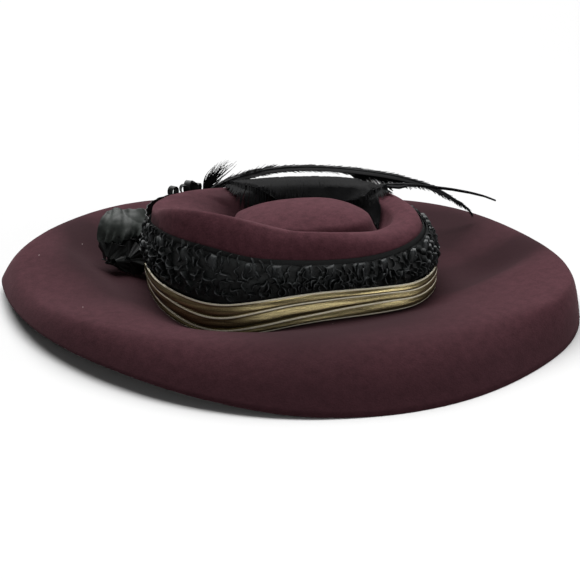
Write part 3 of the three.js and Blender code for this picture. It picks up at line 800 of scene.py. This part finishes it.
curls = []
for variant in range(ruching["shapes"]):
    source = curlShape(40 + variant)
    for row in ruching["curls"]:
        for k in range(variant, row["count"], ruching["shapes"]):
            angle = tau * (k + dice.uniform(-0.3, 0.3) + row["down"] * 3) / row["count"]
            low, high = row.get("between", (-360, 720))
            if not low < degrees(angle) < high:
                continue
            grow = dice.uniform(0.8, 1.2) * mm
            swing = radians(dice.uniform(-1, 1) * row["swing"])
            down = row["down"] + dice.uniform(0, 0.05)
            curls.append(rucheCopy(source, row, angle, down, grow, swing))
    bpy.data.objects.remove(source)
ruche = joined(curls, "ruchedCurls")
thicken(ruche, ruching["edge"])
ruche = joined([base, ruche], "ruchedCurls")
ruchedSatin = satinLook("ruchedSatin", ruching["tone"], ruching["sheen"], 0.5, 0.2,
                        edgeHighlightTone=ruching["hem"])
finishSurface(ruche, ruchedSatin, 60)

caps = []
row = ruching["caps"]
for variant in range(row["shapes"]):
    source = capShape(70 + variant)
    for k in range(variant, row["count"], row["shapes"]):
        angle = tau * (k + dice.uniform(-0.12, 0.12)) / row["count"]
        grow = dice.uniform(0.85, 1.1) * mm
        swing = radians(dice.uniform(-1, 1) * row["swing"])
        caps.append(rucheCopy(source, row, angle, row["down"], grow, swing))
    bpy.data.objects.remove(source)
cap = joined(caps, "ruchedCaps")
thicken(cap, ruching["capEdge"])
finishSurface(cap, satinLook("capSatin", ruching["capLitTone"], ruching["capLitSheen"], 0.52, 0.15))
ruche = joined([ruche, cap], "ruchedRibbon")
finishPiece(ruche, "satin", "ribbon_ruched")
print("ruching gathered")


plumes = {
    "tone": (0.0022, 0.0022, 0.0024, 1), "sheen": (0.0062, 0.0063, 0.0067, 1),
    # the quill painted lighter than the vane, as its highlight
    "quillLitTone": (0.007, 0.0073, 0.0076, 1), "quillSheen": (0.022, 0.023, 0.024, 1),
    "barb": 0.14 * mm,
}


def featherLook():
    look = Look("blackFeather", Roughness=0.6, Specular_IOR_Level=0.025)
    where = look.place()
    patch = look.noise(where, 60, 3)
    fibre = look.noise(where, 1100, 3, 0.6)
    # Painted sheen: the vane lighter in patches and along its fibres
    look.paint((patch * 0.5 + fibre * 0.6).span(0.4, 0.75), plumes["tone"], plumes["sheen"])
    look.feed("Roughness", 0.52 + fibre * 0.2)
    look.emboss(fibre, 0.3, 0.15 * mm)
    return look


def quillLook():
    look = Look("blackQuill", Roughness=0.6, Specular_IOR_Level=0.1)
    streak = look.noise(look.place((1, 6, 6)), 120, 3)
    # Painted highlight: the quill lighter than the vane, in streaks along it
    look.paint(streak.span(0.35, 0.7), plumes["quillLitTone"], plumes["quillSheen"])
    look.emboss(streak, 0.3, 0.2 * mm)
    return look


def bareQuill(pointAt, radiusAt, steps):
    # The shaft of a plume; both functions take a share of its length
    shares = [k / steps for k in range(steps + 1)]
    stem = tubeAlong([pointAt(t) for t in shares], [radiusAt(t) for t in shares])
    finishSurface(stem, quill)
    return stem


feather = featherLook()
quill = quillLook()

upperPlume = {
    # x, y, z and width along the shaft
    "shaft": [
        (-45.4, 74.6, 57, 7), (-35.4, 77.1, 61, 10), (-23.4, 78.9, 65.1, 11), (-8.4, 78.6, 68.7, 10.5),
        (7.6, 79.6, 71, 9.5), (30.6, 78.6, 71.5, 9.5), (54.6, 75.6, 70, 11), (78.6, 70.6, 67, 10.5),
        (101.6, 63.6, 63.5, 8.5), (121.6, 54.6, 58.5, 7.5), (135.6, 46.6, 52.5, 6), (146.6, 40.6, 46, 4),
        (154.6, 37.6, 40.5, 2.5), (158.6, 35.6, 36, 1),
    ],
    "barbs": 300, "angle": 24, "beyond": 0.9, "barbWide": 1.15, "taper": 0.75, "bow": 1.2, "loose": 1.0,
    # where the barbs of its near side hang down, as shares of the shaft, how far, and clear of the felt
    "hangs": (0.47, 0.54, 0.54, 0.8), "hang": 9.5, "clear": 0.8,
    # the way its flat side looks, its barbs' and quill's height above the shaft, and the quill's radii
    "face": (0, -0.25, 1), "up": 0.35 * mm, "quill": (0.9, 0.25), "quillUp": 0.9 * mm,
}
shaft = Line(upperPlume["shaft"])
dice = random.Random(5)
# each barb's length and stray
moods = [(dice.uniform(0.85, 1.12), dice.uniform(-1, 1)) for k in range(2 * upperPlume["barbs"])]


def upperBarb(k, u, v):
    side = 1 if k % 2 else -1
    share = (k // 2 + 0.5) / upperPlume["barbs"]
    long, stray = moods[k]
    root = shaft.at(share)
    along = shaft.tangent(share)
    across = Vector(upperPlume["face"]).cross(along).normalized()
    spread = radians(upperPlume["angle"])
    reach = (shaft.width(share) / 2 + upperPlume["beyond"] * mm) * long / sin(spread)
    begin, full, wane, end = upperPlume["hangs"]
    hang = easing(begin, full, share) * (1 - easing(wane, end, share)) if side < 0 else 0
    taper = upperPlume["taper"] * max(1 - 2 * hang, 0)
    wide = upperPlume["barbWide"] * mm * (1 - taper * v ** 1.5)
    normal = along.cross(across)
    heading = along * cos(spread) + across * (side * sin(spread))
    edgeways = along * sin(spread) - across * (side * cos(spread))
    curve = normal * (-upperPlume["bow"] * mm * v * v + stray * upperPlume["loose"] * mm * v ** 3)
    where = root + heading * reach * v + edgeways * (wide * u) + curve + normal * upperPlume["up"]
    where.z -= upperPlume["hang"] * mm * hang * long * v ** 1.3
    return aboveFelt(where, upperPlume["clear"] * mm) if hang else where


barbs = stripRow(2 * upperPlume["barbs"], 5, upperBarb)
thicken(barbs, plumes["barb"])
blade = copyOfNode("plume_upper", "upperBlade")
roundOff(blade)
for piece in (barbs, blade):
    finishSurface(piece, feather, 50)
stem = bareQuill(lambda t: shaft.at(t) + Vector((0, 0, upperPlume["quillUp"])),
                 lambda t: mixed(*upperPlume["quill"], t) * mm, 40)
finishPiece(joined([barbs, blade, stem], "upperPlume"), "feather", "plume_upper")
print("upper plume laid")

broadPlume = {
    # x, y, z and width along the shaft, the share of it that has a vane, and x and y of the vane's free edge
    "shaft": [
        (-31.3, 69.7, 66.3, 1.6), (-20.6, 75.2, 63.4, 1.6), (-7.3, 77.2, 62.6, 1.5), (7.8, 78.2, 61.7, 1.5),
        (23.5, 77.1, 61, 1.4), (40.4, 74.1, 60.5, 1.4), (56.9, 67.7, 60, 1.3), (69.7, 59.3, 60.2, 1.2),
        (79, 48.5, 61.4, 1.1), (92.6, 37.8, 63.4, 1.0), (108, 35.4, 62.6, 0.9), (123.6, 32.6, 60.6, 0.8),
        (136.6, 27.6, 59, 0.7), (148.6, 22, 57, 0.6), (157.6, 16.6, 55, 0.5), (164.6, 10.6, 52.4, 0.3),
    ],
    "vaneEnd": 0.56,
    "edge": [
        (-33, 63), (-28, 50), (-18.5, 43), (-7, 42), (3.6, 42.4), (14.8, 43), (26.5, 42.4),
        (38.3, 39), (48.9, 31.4), (57.5, 21.5), (66, 18), (73, 16.8), (80.5, 18.5),
    ],
    "barbs": 230, "barbWide": 1.6, "taper": 0.8, "sweep": 0.02, "beyond": 0.05, "bow": 3.5 * mm,
    "loose": 1.2 * mm, "above": 0.35, "lift": 0.45, "round": 0.15 * mm, "quillUp": 0.3 * mm,
    "clear": 1.4 * mm,
}
shaft = Line(broadPlume["shaft"])
edge = Line([(x, y, 0, 0) for x, y in broadPlume["edge"]])
vaneTop = surfaceOf("plume_broad", "plume_groove")
dice = random.Random(8)
# each barb's length, lift and stray
moods = [(dice.uniform(0.9, 1.1), dice.uniform(0, 1), dice.uniform(-1, 1))
         for k in range(broadPlume["barbs"])]


def overCrown(x, y, above):
    # A height on the vane, or a little above the felt beside it
    under = heightOn(feltTop, x, y, 50 * mm)
    return max(heightOn(vaneTop, x, y), under + broadPlume["clear"]) + above


def broadBarb(k, u, v):
    share = (k + 0.5) / broadPlume["barbs"]
    long, lift, stray = moods[k]
    root = shaft.at(share * broadPlume["vaneEnd"])
    end = edge.at(min(share + broadPlume["sweep"], 1))
    end = Vector((end.x, end.y, root.z))
    long *= 1 + broadPlume["beyond"]
    bow = shaft.tangent(share * broadPlume["vaneEnd"]) * broadPlume["bow"] * sin(pi * v)
    heading = (end - root).normalized()
    edgeways = Vector((-heading.y, heading.x, 0)).normalized()
    wide = broadPlume["barbWide"] * mm * (1 - broadPlume["taper"] * v ** 3)
    where = root.lerp(end, v * long) + bow + edgeways * (wide * u + stray * broadPlume["loose"] * v)
    above = (broadPlume["above"] + broadPlume["lift"] * lift * v) * mm
    above += broadPlume["round"] * (1 - 4 * u * u)
    where.z = overCrown(where.x, where.y, above)
    return where


def shaftTop(share):
    where = shaft.at(share)
    where.z = max(where.z, heightOn(vaneTop, where.x, where.y)) + broadPlume["quillUp"]
    return where


barbs = stripRow(broadPlume["barbs"], 14, broadBarb)
thicken(barbs, plumes["barb"])
vane = copyOfNode("plume_broad", "broadBlade")
for piece in (barbs, vane):
    finishSurface(piece, feather, 50)
stem = bareQuill(shaftTop, lambda t: shaft.width(t) * 0.5, 60)
finishPiece(joined([barbs, vane, stem], "broadPlume"), "feather", "plume_broad")
print("broad plume laid")

groove = {
    # its barbs, as uneven as the broad vane's, lie over these angles round a middle, swept back by one
    "barbs": 200, "angles": (68, 8), "sweep": 20, "middle": (8.4, -0.2),
    # from an oval in the groove's bottom up the rim, as far as the table gives by angle
    "inner": (56, 43.5), "boxiness": 2.6,
    "outer": [(-13, 53), (-8, 55.6), (5, 59.8), (11, 61.7), (19, 65.6), (25, 65.5), (35, 62.4),
              (50, 57.9), (68, 52.4)],
    "wide": 2.2, "taper": 0.8, "loose": 0.3, "above": 0.4, "lift": 0.5,
}


def ovalAt(halfLength, halfWidth, angle):
    power = groove["boxiness"]
    total = (abs(cos(angle)) / halfLength) ** power + (abs(sin(angle)) / halfWidth) ** power
    return total ** (-1 / power)


def tabled(rows, place):
    # A value between the rows of a table of places and values
    for (low, first), (high, second) in zip(rows, rows[1:]):
        if place <= high:
            break
    return mixed(first, second, min(max((place - low) / (high - low), 0), 1))


def grooveBarb(k, u, v):
    share = (k + 0.5) / groove["barbs"]
    long, lift, stray = moods[k]
    angle = mixed(*groove["angles"], share) - groove["sweep"] * v * long
    outer = tabled(groove["outer"], angle)
    angle = radians(angle)
    inner = min(ovalAt(*groove["inner"], angle), outer - 5)
    start = (k * 0.37) % 1  # each barb begins at another height, spread evenly
    inwards = min(start * 0.8 + 0.3 * v, 1)
    wide = groove["wide"] * (1 - groove["taper"] * v ** 2)
    far = mixed(outer, inner, inwards) + wide * u + groove["loose"] * stray * v
    middle = groove["middle"]
    x = (middle[0] + far * cos(angle)) * mm
    y = (middle[1] + far * sin(angle)) * mm
    above = (groove["above"] + groove["lift"] * lift) * mm
    return Vector((x, y, overCrown(x, y, above)))


plumage = stripRow(groove["barbs"], 8, grooveBarb)
plumage.name = "groovePlume"
thicken(plumage, plumes["barb"])
finishSurface(plumage, feather, 50)
finishPiece(plumage, "feather", "plume_groove")
print("groove plume laid")

tuftWisps = {
    "root": (-44, 77.2, 61), "wisps": 64, "wide": 0.85, "strayWide": 0.7, "thick": 0.25 * mm,
    # tips that the wisps fan out between
    "tips": [(-41, 77.5, 73), (-36, 80, 77), (-30, 81, 79.5), (-22, 82.5, 79.5), (-17, 83, 76)],
    # both ends of the strays, which stand up in threes
    "strays": [((-12, 79.5, 71), (-2, 80, 75.2)), ((-6, 79.5, 72), (5, 80, 75.6)),
               ((-16, 79.3, 69.5), (-8, 79.6, 74))],
}
root = Vector(tuftWisps["root"]) * mm
fan = Line([(*tip, 0) for tip in tuftWisps["tips"]])
dice = random.Random(3)
wisps = []


def shifted(most):
    return Vector([dice.uniform(-most, most) * mm for axis in range(3)])


for k in range(tuftWisps["wisps"]):
    tip = fan.at(dice.random())
    start = root + shifted(1.6)
    end = start.lerp(tip, dice.uniform(0.45, 1.1) ** 0.7)
    bend = shifted(2.2)
    wisps.append((start, end, bend, tuftWisps["wide"] * dice.uniform(0.6, 1.2)))
for start, end in tuftWisps["strays"]:
    for k in range(3):
        shift = shifted(1.2)
        sag = Vector((0, 0, -1.5 * mm))
        ends = (Vector(start) * mm + shift, Vector(end) * mm + shift * 2)
        wisps.append((*ends, sag, tuftWisps["strayWide"]))


def wisp(k, u, v):
    start, end, bend, wide = wisps[k]
    heading = (end - start).normalized()
    edgeways = heading.cross(Vector((0.3, 1, 0.2))).normalized()
    return start.lerp(end, v) + bend * sin(pi * v) + edgeways * (u * wide * mm * (1 - 0.9 * v))


tuft = stripRow(len(wisps), 7, wisp)
tuft.name = "plumeTuft"
thicken(tuft, tuftWisps["thick"])
finishSurface(tuft, feather, 50)
finishPiece(tuft, "feather", "plume_tuft")
print("tuft fanned")


loops = {
    "wide": 5, "thick": 0.5 * mm, "stand": 3.6 * mm,
    # place round the crown, radius, height of the middle, turn about the vertical and lean
    "loops": [
        (138, 3.3, 63.4, -12, 4), (131.8, 3.1, 63, -35, -12), (129.6, 3.9, 64.4, 10, 10),
        (127.4, 3.4, 64.2, -30, -6), (125.4, 3, 62.8, 15, 12),
    ],
    # a loop's shape: narrower at its foot, and its upper and lower halves drawn out
    "pinch": 0.3, "upper": 1.2, "lower": 1.7,
    # the standing edge behind them: both ends, its foot, top and rise, how far out, and its waves
    "edge": (122, 178), "foot": -4, "top": 1.2, "rise": 3.4, "out": 2.1, "wave": 0.5, "waves": 9,
    "tone": (0.005, 0.0055, 0.0053, 1), "sheen": (0.017, 0.019, 0.018, 1),
}
loopSatin = satinLook("loopSatin", loops["tone"], loops["sheen"], 0.5, 0.15)


def edgePoint(k, u, v):
    # The standing edge of ribbon behind the loops, with a slight wave
    angle = radians(mixed(*loops["edge"], v))
    line = ribbonBand.top(angle)
    top = line + (loops["top"] + loops["rise"] * sqrt(max(sin(pi * v), 0))) * mm
    foot = line + loops["foot"] * mm
    up = u + 0.5
    height = foot + (top - foot) * up
    where = ribbonBand.at(angle, min(height, line - 0.3 * mm))
    inset = 0.012 * max(height - line, 0) / mm
    wave = loops["wave"] * sin(loops["waves"] * tau * v) * up
    flat = outwardAt(angle) * (loops["out"] - inset + wave) * mm
    return Vector((where.x, where.y, height)) + flat


standing = stripRow(1, 90, edgePoint)
roundOff(standing)
thicken(standing, loops["thick"])
pieces = [standing]
for place, radius, height, turned, lean in loops["loops"]:
    angle = radians(place)
    where = ribbonBand.at(angle, ribbonBand.top(angle) - 0.5 * mm)
    middle = Vector((where.x, where.y, height * mm)) + outwardAt(angle) * loops["stand"]
    bpy.ops.mesh.primitive_cylinder_add(vertices=28, radius=radius * mm, depth=loops["wide"] * mm,
                                        end_fill_type="NOTHING", location=(0, 0, 0))
    loop = bpy.context.object
    outwards = outwardAt(radians(place + turned))
    sideways = Vector((outwards.y, -outwards.x, 0))
    for vertex in loop.data.vertices:
        sidestep = vertex.co.x / mm
        high = vertex.co.y / mm
        depth = vertex.co.z / mm
        sidestep *= 1 - loops["pinch"] * max(-high / radius, 0)
        sidestep += high * sin(radians(lean))
        high *= loops["upper" if high > 0 else "lower"]
        vertex.co = middle + (sideways * sidestep + outwards * depth + Vector((0, 0, high))) * mm
    roundOff(loop, 1)
    thicken(loop, loops["thick"])
    pieces.append(loop)
for piece in pieces:
    finishSurface(piece, loopSatin, 50)
finishPiece(joined(pieces, "ribbonLoops"), "satin", "ribbon_loops")
print("ribbon loops tied")


rosette = {
    "tone": (0.0018, 0.0021, 0.002, 1), "sheen": (0.007, 0.008, 0.0076, 1),
    # the large petal: the black satin painted lighter, as painted sheen where it faces up to the light
    "petalLitTone": (0.0155, 0.0182, 0.0165, 1), "petalSheen": (0.038, 0.0435, 0.0395, 1),
    # points of the large petal in millimetres, row by row from its far edge to its ruffled lower edge
    "petal": [
        [(-121.1, 66.4, 50.2), (-114.8, 69.9, 52.9), (-108.3, 70.3, 53.4),
         (-101.2, 64.8, 50.5), (-91.3, 61.1, 54.4)],
        [(-125.0, 59.4, 46.5), (-116.5, 56.9, 49.4), (-109.9, 53.6, 49.0),
         (-101.5, 52.8, 47.8), (-91.8, 54.9, 49.4)],
        [(-127.5, 55.9, 41.0), (-119.1, 50.8, 43.2), (-111.7, 47.3, 42.8),
         (-103.4, 46.8, 42.2), (-94.4, 49.1, 43.8)],
        [(-128.3, 55.1, 35.3), (-121.3, 48.4, 35.2), (-113.8, 44.7, 37.1),
         (-106.4, 43.6, 36.0), (-97.5, 45.2, 39.2)],
    ],
    "crumple": 1.5 * mm, "crumpleSize": 55, "ruffle": 3.6 * mm, "ruffles": 9, "flare": 1.2 * mm,
    "crease": 1.6 * mm, "creases": 6.5, "droop": 2.4 * mm, "wander": 2.2 * mm, "hemFrom": 0.62,
    "thick": 0.45 * mm,
    # middle, axis, inner and outer radius, ruffles and their height, and seed of the gathered frills
    "frills": [
        ((-107, 47, 25.5), (-0.45, -0.8, -0.3), 2, 13.5, 7, 2.0, 1),
        ((-116, 53, 28.5), (-0.8, -0.4, -0.35), 2, 11.5, 6, 2.2, 2),
        ((-106, 68, 36), (-0.65, 0.75, 0.1), 2, 14, 7, 2.2, 3),
        ((-99, 45.5, 26.5), (-0.2, -0.9, -0.2), 2, 11, 6, 1.8, 4),
        ((-120, 45, 24), (-0.7, -0.65, -0.1), 2, 12.5, 5, 2.0, 6),
        ((-108, 37.5, 23.5), (-0.45, -0.85, 0.25), 2, 12, 6, 1.8, 7),
        ((-117, 40, 22.5), (-0.6, -0.75, 0.2), 2, 11, 5, 1.6, 8),
        ((-116, 63.5, 36), (-0.95, 0.15, 0.1), 2, 12, 6, 2.0, 5),
    ],
    "heart": ((-104, 58, 33), (8, 7, 11)), "clear": 0.8 * mm,
    # creases of the frills and the heart, and how fine they are
    "frillCrumple": (1.2 * mm, 110), "heartCrumple": (1.5 * mm, 120),
}


def crumpled(where, amount, size):
    # How far a point of crumpled satin lies from its smooth surface: sharp creases and soft hollows
    first = noise.noise(where * size)
    second = noise.noise(where * size * 2.3 + Vector((5, 1, 3)))
    return amount * (1.6 * abs(first) - 0.5 + 0.5 * abs(second))


def wrapGrid(piece, columns, rows):
    layer = piece.data.uv_layers.new(name="grid")
    for loop in piece.data.loops:
        k = loop.vertex_index
        layer.data[loop.index].uv = ((k % (columns + 1)) / columns, (k // (columns + 1)) / rows)


def largePetal():
    rows = rosette["petal"]
    across = len(rows[0]) - 1
    down = len(rows) - 1
    petal = flatGrid(across, down)
    for vertex in petal.data.vertices:
        column = round((vertex.co.x + 0.5) * across)
        row = round((0.5 - vertex.co.y) * down)
        vertex.co = Vector(rows[row][column]) * mm
    wrapGrid(petal, across, down)
    roundOff(petal, 4)
    shares = {}
    for loop in petal.data.loops:
        shares[loop.vertex_index] = petal.data.uv_layers["grid"].data[loop.index].uv.copy()
    normals = [vertex.normal.copy() for vertex in petal.data.vertices]
    for vertex, normal in zip(petal.data.vertices, normals):
        u, v = shares[vertex.index]
        hem = easing(rosette["hemFrom"], 1.0, 1 - v)
        folded = Vector((rosette["ruffles"] * u, 1.2 * v, 0.3))
        out = crumpled(vertex.co, rosette["crumple"], rosette["crumpleSize"])
        out += rosette["ruffle"] * hem * noise.noise(folded) + rosette["flare"] * hem
        out += rosette["crease"] * noise.noise(Vector((rosette["creases"] * u, v, 4)))
        vertex.co += normal * out
        vertex.co.z += rosette["wander"] * hem * noise.noise(folded * 1.6)
        vertex.co.z -= rosette["droop"] * hem * (1 - 0.7 * u)
    thicken(petal, rosette["thick"])
    return petal


def frill(middle, axis, inner, outer, ruffles, wave, seed):
    # A length of ribbon gathered to a disc, its free edge ruffled
    dice = random.Random(seed)
    phase = dice.uniform(0, tau)
    middle = Vector(middle) * mm
    axis = Vector(axis).normalized()
    across = axis.orthogonal().normalized()
    upright = axis.cross(across)

    def point(k, u, v):
        angle = tau * v
        share = u + 0.5
        far = mixed(inner, outer, share) * (1 + 0.1 * sin(3 * angle + phase))
        lift = wave * share * sin(ruffles * angle + phase)
        lift += 0.3 * wave * share * sin(2.7 * ruffles * angle)
        lift += 4 * (1 - share) - 2.5 * share ** 3
        where = middle + (across * cos(angle) + upright * sin(angle)) * (far * mm)
        where += axis * (lift * mm)
        where += axis * crumpled(where, *rosette["frillCrumple"])
        return aboveFelt(where, rosette["clear"])
    piece = stripRow(1, 150, point)

    def split():
        bpy.ops.mesh.remove_doubles(threshold=0.01 * mm)
        bpy.ops.mesh.subdivide(number_cuts=3)
    inEditMode(piece, split)
    thicken(piece, rosette["thick"])
    return piece


petal = largePetal()
petalSatin = satinLook("petalSatin", rosette["petalLitTone"], rosette["petalSheen"],
                       0.55, 0.1, 70)
finishSurface(petal, petalSatin)
blackSatin = satinLook("rosetteSatin", rosette["tone"], rosette["sheen"], 0.5, 0.15, 120)
middle, radii = rosette["heart"]
bpy.ops.mesh.primitive_ico_sphere_add(subdivisions=4, radius=1, location=(0, 0, 0))
heart = bpy.context.object
for vertex in heart.data.vertices:
    out = Vector([radii[axis] * vertex.co[axis] for axis in range(3)])
    vertex.co = (Vector(middle) + out) * mm
    vertex.co += out.normalized() * crumpled(vertex.co, *rosette["heartCrumple"])
frills = [frill(*row) for row in rosette["frills"]]
for piece in [heart, *frills]:
    finishSurface(piece, blackSatin, 70)
finishPiece(joined([petal, heart, *frills], "ribbonRosette"), "satin", "ribbon_rosette")
print("rosette gathered")
